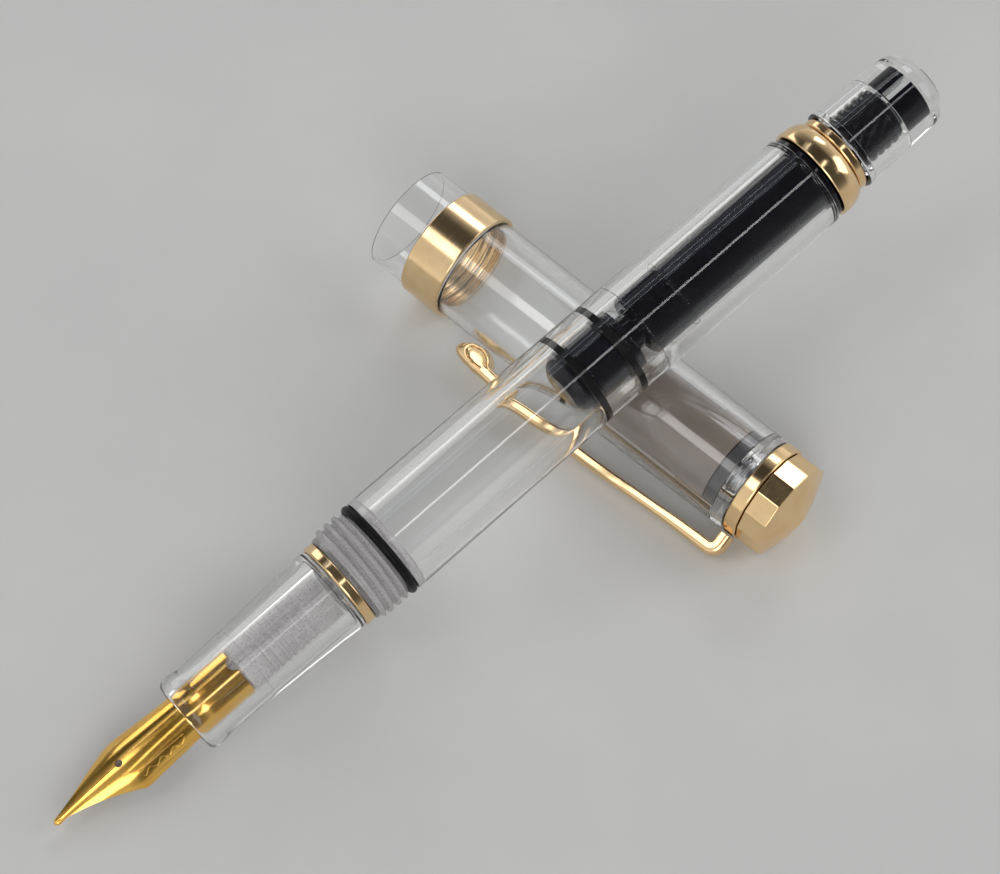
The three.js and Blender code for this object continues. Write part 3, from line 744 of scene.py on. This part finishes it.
# ------------------------------------------------------------------ filling knob
def make_knob():
    ring = turned("knob_ring_trim", [
        (TAIL_RING_END + 0.2, 4.2), (TAIL_RING_END + 0.2, 5.0, 0.3),
        (KNOB_FRONT - 0.1, 5.0, 0.3), (KNOB_FRONT - 0.1, 4.2),
    ], PEN)
    finish_piece(ring, GOLD, "knob_ring", "knob_trim_ring")
    dome = smooth_run([(PEN_LENGTH - 2.6, 4.95), (PEN_LENGTH - 1.9, 4.72), (PEN_LENGTH - 1.3, 4.32),
                       (PEN_LENGTH - 0.8, 3.75), (PEN_LENGTH - 0.45, 3.1), (PEN_LENGTH - 0.2, 2.3),
                       (PEN_LENGTH - 0.06, 1.3)], 40)
    shell = [(KNOB_FRONT, 4.3), (KNOB_FRONT, 5.35, 0.25), (PEN_LENGTH - 2.9, 4.97, 0)]
    key_r = KEY_R - CONTACT
    cavity = [(KEY_END + CONTACT, 0), (KEY_END - CONTACT, key_r, 0.02), (KEY_START - 0.3, key_r),
              (KEY_START - 0.3, 3.8, 0.15), (119.0, 3.8, 0.05), (119.0, 4.3, 0.05)]
    outline = [(PEN_LENGTH, 0)] + dome[::-1] + shell[::-1] + cavity[::-1]
    knob = turned("clear_knob", outline, PEN, closed=False)
    finish_piece(knob, CLEAR, "knob", "filling_knob")
    tip = 79.2
    shaft = turned("spindle_key", [
        (tip, 0), (tip, 0.9), (tip + 0.4, 1.2), (112.3, 1.2), (112.3, 2.2), (KEY_START - 0.1, 2.2),
        (KEY_START - 0.1, KEY_R, 0.05), (KEY_END, KEY_R, 0.1), (KEY_END, 0),
    ], PEN, closed=False)
    slot = block((KEY_START + 0.1, KEY_SLOT[0], -3), (KEY_END + 1, KEY_SLOT[1], 3), PEN, KEY_SLOT_TURN)
    combine(shaft, [slot])
    finish_piece(crisp(shaft), BLACK, "knob", "piston_spindle")


# ------------------------------------------------------------------ cap
def cap_radius(station):
    return CAP_END_R + (station - CAP_END) / (CAP_MOUTH - CAP_END) * (CAP_MOUTH_R - CAP_END_R)


def make_cap_tube():
    start, end = 23.7, 28.4
    root = 6.35
    edge = CAP_END + 0.9
    outside = [(CAP_END, 2.5), (CAP_END, CAP_END_R - 0.25, 0.35), (edge, cap_radius(edge), 0.8),
               (CAP_MOUTH, CAP_MOUTH_R, 0.06), (CAP_MOUTH, root + 0.06, 0.06)]
    inside = [(end + 0.2, root), *run(end, start, root), (start - 0.4, 5.7, 0.1),
              (LINER_MOUTH + 1.2, 5.7, 0.2), (LINER_MOUTH, LINER_BORE_R, 0.3),
              (WASHER_END - 0.1, LINER_BORE_R, 0.15), (WASHER_END - 0.1, 2.5)]
    tube = turned("clear_cap_tube", outside + inside, CAP,
                  relief=thread(start, end, root, -0.4, THREAD_PITCH))
    finish_piece(tube, CLEAR, "cap", "cap_tube")


def make_cap_trim():
    bore = cap_radius(26) - CONTACT
    band = turned("cap_band_ring", [
        (BAND_REAR, bore - 0.02), (BAND_REAR, BAND_R, 0.22),
        (BAND_FRONT, BAND_R, 0.22), (BAND_FRONT, bore + 0.02),
    ], CAP)
    finish_piece(band, ROSE, "cap", "cap_band")
    liner = turned("smoke_liner", [
        (LINER_END, 0), (LINER_END, 5.05, 0.15), (-12.5, 5.05, 0.02), (-12.5, 4.9, 0.02),
        (LINER_MOUTH, 4.9, 0.4), (LINER_MOUTH, 4.2, 0.2), (-13, 4.2, 0.3), (-14.6, 2.6, 0.3), (-14.6, 0),
    ], CAP, closed=False)
    finish_piece(liner, SMOKE, "cap", "inner_cap")
    washer = turned("liner_washer_ring", [
        (WASHER_END, 2.8), (WASHER_END, 5.0, 0.15),
        (LINER_END - 0.1, 5.0, 0.15), (LINER_END - 0.1, 2.8),
    ], CAP)
    finish_piece(washer, WASHER, "cap", "liner_washer")
    thread_end = -17.4
    screw = turned("finial_stud", [
        (CLIP_RING_END - 0.1, 0), (CLIP_RING_END - 0.1, STUD_R),
        *run(CAP_END, thread_end, STUD_R, 0.05), (-17.1, 2.0), (-17.1, 0),
    ], CAP, closed=False, relief=thread(CAP_END, thread_end, STUD_R, -0.15, 0.5, 0.3))
    finish_piece(screw, STEEL, "cap", "finial_screw")
    ring = turned("clip_ring_plate", [
        (CLIP_RING_END, 2.5), (CLIP_RING_END, CLIP_RING_R, 0.25),
        (CAP_END - 0.02, CLIP_RING_R, 0.25), (CAP_END - 0.02, 2.5),
    ], CAP)
    finish_piece(ring, GOLD, "cap", "clip_ring")
    front = CLIP_RING_END - 0.12
    finial = turned("faceted_finial", [
        (FINIAL_APEX, 0), (FINIAL_APEX + 0.04, 0.2), (FINIAL_APEX + 0.75, 3.0),
        (FINIAL_SHOULDER, FINIAL_R, 0.12), (front, FINIAL_R, 0.1), (front, 0),
    ], CAP @ Matrix.Rotation(FINIAL_TURN, 4, "X"), closed=False, sides=FINIAL_SIDES * 20,
        relief=facets(FINIAL_SIDES))
    finish_piece(finial, GOLD, "cap", "finial")


# Heights above the cap's axis along the clip, from its bend to its drop.
clip_outer = through([(-19, 9.9), (-15, 9.92), (-11.3, 10.04), (-7.6, 10.27), (-3.9, 10.48), (0, 10.6),
                      (4, 10.6), (9, 10.34), (14, 9.96), (17.9, 9.6)])
clip_inner = through([(-19, 8.25), (-16, 8.36), (-12.4, 8.62), (-8.7, 8.82), (-5, 9.02), (-1, 9.12),
                      (4, 9.08), (9, 8.82), (12.8, 8.48), (14.4, 8.32)])
# Half of the bar's section: share of its half width, share of its thickness.
CLIP_SECTION = ((0.35, 0.985), (0.64, 0.93), (0.85, 0.83), (0.96, 0.7), (0.995, 0.58), (1.0, 0.5),
                (1.0, 0.14), (0.975, 0.05), (0.91, 0.0), (0.5, 0.0))
CLIP_HALF_WIDTH = 1.3
CLIP_BEND = 1.15                  # radius of the bend's middle line
CLIP_FOOT = 6.55
CLIP_START = -21.25
CLIP_BAR_END = 14.8


def clip_path():
    """Middle points of the clip's bar with its thickness: up from the ring, round its bend, along the cap."""
    level = (clip_outer(CLIP_START) + clip_inner(CLIP_START)) / 2
    thick = clip_outer(CLIP_START) - clip_inner(CLIP_START)
    corner_x, corner_y = CLIP_START + CLIP_BEND, level - CLIP_BEND
    path = [(CLIP_START, CLIP_FOOT + (corner_y - CLIP_FOOT) * i / 6, thick) for i in range(6)]
    for i in range(17):
        angle = math.pi / 2 * i / 16
        path.append((corner_x - CLIP_BEND * math.cos(angle), corner_y + CLIP_BEND * math.sin(angle), thick))
    for i in range(1, 91):
        x = corner_x + (CLIP_BAR_END - corner_x) * i / 90
        path.append((x, (clip_outer(x) + clip_inner(x)) / 2, clip_outer(x) - clip_inner(x)))
    return path


def clip_arm():
    path = clip_path()
    half = [(0, 1.0), *CLIP_SECTION, (0, 0.0)]
    outline = half + [(-u, v) for u, v in CLIP_SECTION[::-1]]
    vertices = []
    for i, (x, y, thick) in enumerate(path):
        a, b = path[max(i - 1, 0)], path[min(i + 1, len(path) - 1)]
        way = Vector((b[0] - a[0], b[1] - a[1])).normalized()
        for u, v in outline:
            out = (v - 0.5) * thick
            vertices.append((x - way.y * out, u * CLIP_HALF_WIDTH, y + way.x * out))
    return solid("pocket_clip_arm", vertices, tube_faces(len(path), len(outline)), CLIP)


def polar(points):
    """A radius at each angle in degrees, through [angle, radius] points all round."""
    turns = [(angle + turn, r) for turn in (-360, 0, 360) for angle, r in points]
    return through(turns)


# The clip's drop, seen from its side, round its middle: [angle from the tip's way, radius].
DROP_MIDDLE = (16.2, 8.3)
drop_outline = polar([(9, 3.1), (23, 2.75), (39, 2.15), (79, 1.58), (125, 2.0), (148, 2.9), (163, 3.2),
                      (171, 2.9), (182, 2.15), (209, 1.74), (243, 1.55), (281, 1.5), (315, 1.84),
                      (340, 2.34), (356, 2.85)])
drop_rim = polar([(15, 1.4), (71, 0.8), (120, 1.05), (152, 1.8), (165, 2.9), (173, 2.6), (183, 2.0),
                  (215, 1.6), (245, 1.42), (291, 1.38), (323, 1.74), (343, 1.84), (353, 1.8)])
DROP_HALF_WIDTH = 1.26
DISH_HALF_WIDTH = 0.92
# The dish on the drop's flank: share of the way out to the rim, half width of the drop there.
DISH = ((0.25, DISH_HALF_WIDTH), (0.5, 0.93), (0.68, 0.96), (0.76, 1.0), (0.81, 1.1), (0.85, 1.2),
        (0.89, 1.25), (0.94, 1.27), (1.0, DROP_HALF_WIDTH))


def clip_drop():
    """The clip's end: a drop seen from the side, each flank a shallow dish in a raised rim."""
    levels = [(share, height, 0.0) for share, height in DISH]
    steps, around = 10, 144
    for i in range(1, steps + 1):
        turn = math.pi / 2 * i / steps
        levels.append((1.0, DROP_HALF_WIDTH * math.cos(turn), math.sin(turn)))
    levels += [(share, -height, beyond) for share, height, beyond in levels[-2::-1]]
    centre_x, centre_z = DROP_MIDDLE
    vertices = [(centre_x, DISH_HALF_WIDTH, centre_z)]
    for share, height, beyond in levels:
        for k in range(around):
            angle = 360 * k / around
            rim, edge = drop_rim(angle), drop_outline(angle)
            r = rim * share + (edge - rim) * beyond
            turn = math.radians(angle)
            vertices.append((centre_x + r * math.cos(turn), height, centre_z + r * math.sin(turn)))
    vertices.append((centre_x, -DISH_HALF_WIDTH, centre_z))
    last = len(vertices) - 1
    faces = []
    for k in range(around):
        n = (k + 1) % around
        faces.append((0, 1 + k, 1 + n))
        for i in range(len(levels) - 1):
            here, there = 1 + i * around, 1 + (i + 1) * around
            faces.append((here + k, here + n, there + n, there + k))
        faces.append((last - around + k, last - around + n, last))
    return solid("drop", vertices, faces, CLIP)


def make_clip():
    clip = combine(clip_arm(), [clip_drop()], "UNION")
    finish_piece(crisp(clip, 40), GOLD, "clip", "pocket_clip")


make_nib()
make_feed()
make_section()
make_barrel()
make_tail()
make_piston()
make_knob()
make_cap_tube()
make_cap_trim()
make_clip()


# ------------------------------------------------------------------ floor, light and camera
def make_floor():
    half, height = FLOOR_HALF, FLOOR_HEIGHT * MM
    mesh = bpy.data.meshes.new("floor")
    corners = [(-half, -half, height), (half, -half, height), (half, half, height), (-half, half, height)]
    mesh.from_pydata(corners, [], [(0, 1, 2, 3)])
    floor = link("floor", mesh, Matrix.Identity(4))
    material, tree, shader = node_tree("pale_floor")
    shader.inputs["Specular IOR Level"].default_value = 0.3
    patches = noise(tree, (0.02, 0.02, 0.02), 5.0, 0.6)
    fine = noise(tree, (0.6, 0.6, 0.6), 4.0)
    pale = blend_colours(tree, patches, (0.63, 0.64, 0.63), (0.68, 0.68, 0.67))
    tree.links.new(pale, shader.inputs["Base Color"])
    tree.links.new(spread(tree, fine, 0.55, 0.7), shader.inputs["Roughness"])
    bump(tree, shader, fine, 0.5, 0.02)
    mesh.materials.append(material)


# Each light: name, way to it, length and height in metres, brightness, colour.
LIGHTS = (
    ("near_strip", (-0.116, -0.347, 0.932), (0.9, 0.12), 2.4, (1.0, 0.99, 0.98)),
    ("far_window", (0.04, 0.565, 0.83), (0.9, 0.3), 0.4, (0.82, 0.87, 1.0)),
    ("far_strip", (0.04, 0.50, 0.865), (0.9, 0.05), 2.0, (0.88, 0.92, 1.0)),
    ("left_window", (-0.42, 0.28, 0.86), (0.5, 0.42), 2.2, (1.0, 0.98, 0.95)),
    ("right_window", (0.70, 0.31, 0.64), (0.35, 0.5), 3.2, (0.96, 0.97, 1.0)),
    ("low_window", (0.24, 0.95, 0.19), (1.2, 0.4), 1.6, (1.0, 0.98, 0.96)),
    ("left_fill", (-0.62, -0.55, 0.56), (0.8, 0.8), 2.4, (1.0, 0.99, 0.97)),
    ("right_fill", (0.60, -0.60, 0.53), (0.8, 0.8), 2.0, (0.98, 0.99, 1.0)),
)


def soft_light(name, direction, size, radiance, colour):
    """A glowing panel that faces the pen, of a given brightness whatever its size."""
    data = bpy.data.lights.new(name, "AREA")
    data.shape = "RECTANGLE"
    data.size, data.size_y = size
    data.energy = radiance * math.pi * size[0] * size[1]
    data.color = colour
    light = bpy.data.objects.new(name, data)
    bpy.context.scene.collection.objects.link(light)
    back = Vector(direction).normalized()
    across = Vector((0, 1, 0)).cross(back).normalized()
    light.matrix_world = (Matrix.Translation(back * LIGHT_DISTANCE)
                          @ Matrix((across, back.cross(across), back)).transposed().to_4x4())


# The room's brightness, as (place, light): from horizon to zenith, and from its left to its right end.
SKY_BY_HEIGHT = ((0.0, 0.34), (0.1, 0.18), (0.3, 0.08), (1.0, 0.045))
SKY_ACROSS = ((0.0, 0.75), (0.2, 0.6), (0.33, 0.22), (0.42, 0.0), (0.66, 0.0), (0.8, 0.35), (1.0, 0.7))


def grey_ramp(tree, value, stops):
    """Light that follows a value through (position, brightness) stops."""
    ramp = tree.nodes.new("ShaderNodeValToRGB")
    elements = ramp.color_ramp.elements
    while len(elements) < len(stops):
        elements.new(0.5)
    for element, (position, light) in zip(elements, stops):
        element.position = position
        element.color = (light, light, light, 1)
    tree.links.new(value, ramp.inputs["Fac"])
    return ramp.outputs["Color"]


def make_world():
    """Brighter towards the horizon and to both ends of the room, dark above the pen."""
    world = bpy.data.worlds.new("studio")
    bpy.context.scene.world = world
    world.use_nodes = True
    tree = world.node_tree
    where = tree.nodes.new("ShaderNodeTexCoord")
    parts = tree.nodes.new("ShaderNodeSeparateXYZ")
    tree.links.new(where.outputs["Generated"], parts.inputs["Vector"])
    height = grey_ramp(tree, parts.outputs["Z"], SKY_BY_HEIGHT)
    side = spread(tree, parts.outputs["X"], 0.0, 1.0, -1.0, 1.0)
    ends = grey_ramp(tree, side, SKY_ACROSS)
    total = tree.nodes.new("ShaderNodeVectorMath")
    total.operation = "ADD"
    tree.links.new(height, total.inputs[0])
    tree.links.new(ends, total.inputs[1])
    tree.links.new(total.outputs["Vector"], tree.nodes["Background"].inputs["Color"])


def make_camera():
    """Looks down on the pen from over its nib, along the given heading."""
    heading, elevation, roll = (math.radians(v) for v in (52.27, 59.98, 4.05))
    distance, lens = 0.39873, 123.4
    target = Vector((0.00371, 0.00202, 0.008))
    forward = Vector((math.sin(heading) * math.cos(elevation), math.cos(heading) * math.cos(elevation),
                      -math.sin(elevation)))
    right = forward.cross(Vector((0, 0, 1))).normalized()
    up = right.cross(forward)
    tilted_right = right * math.cos(roll) + up * math.sin(roll)
    tilted_up = up * math.cos(roll) - right * math.sin(roll)
    turn = Matrix((tilted_right, tilted_up, -forward)).transposed().to_4x4()
    data = bpy.data.cameras.new("camera")
    data.lens = lens
    data.sensor_width = 36.0
    data.clip_start, data.clip_end = 0.01, 20.0
    camera = bpy.data.objects.new("camera", data)
    bpy.context.scene.collection.objects.link(camera)
    camera.matrix_world = Matrix.Translation(target - forward * distance) @ turn
    bpy.context.scene.camera = camera


make_floor()
make_world()
for lamp in LIGHTS:
    soft_light(*lamp)
make_camera()
bpy.context.scene.view_settings.view_transform = "Standard"
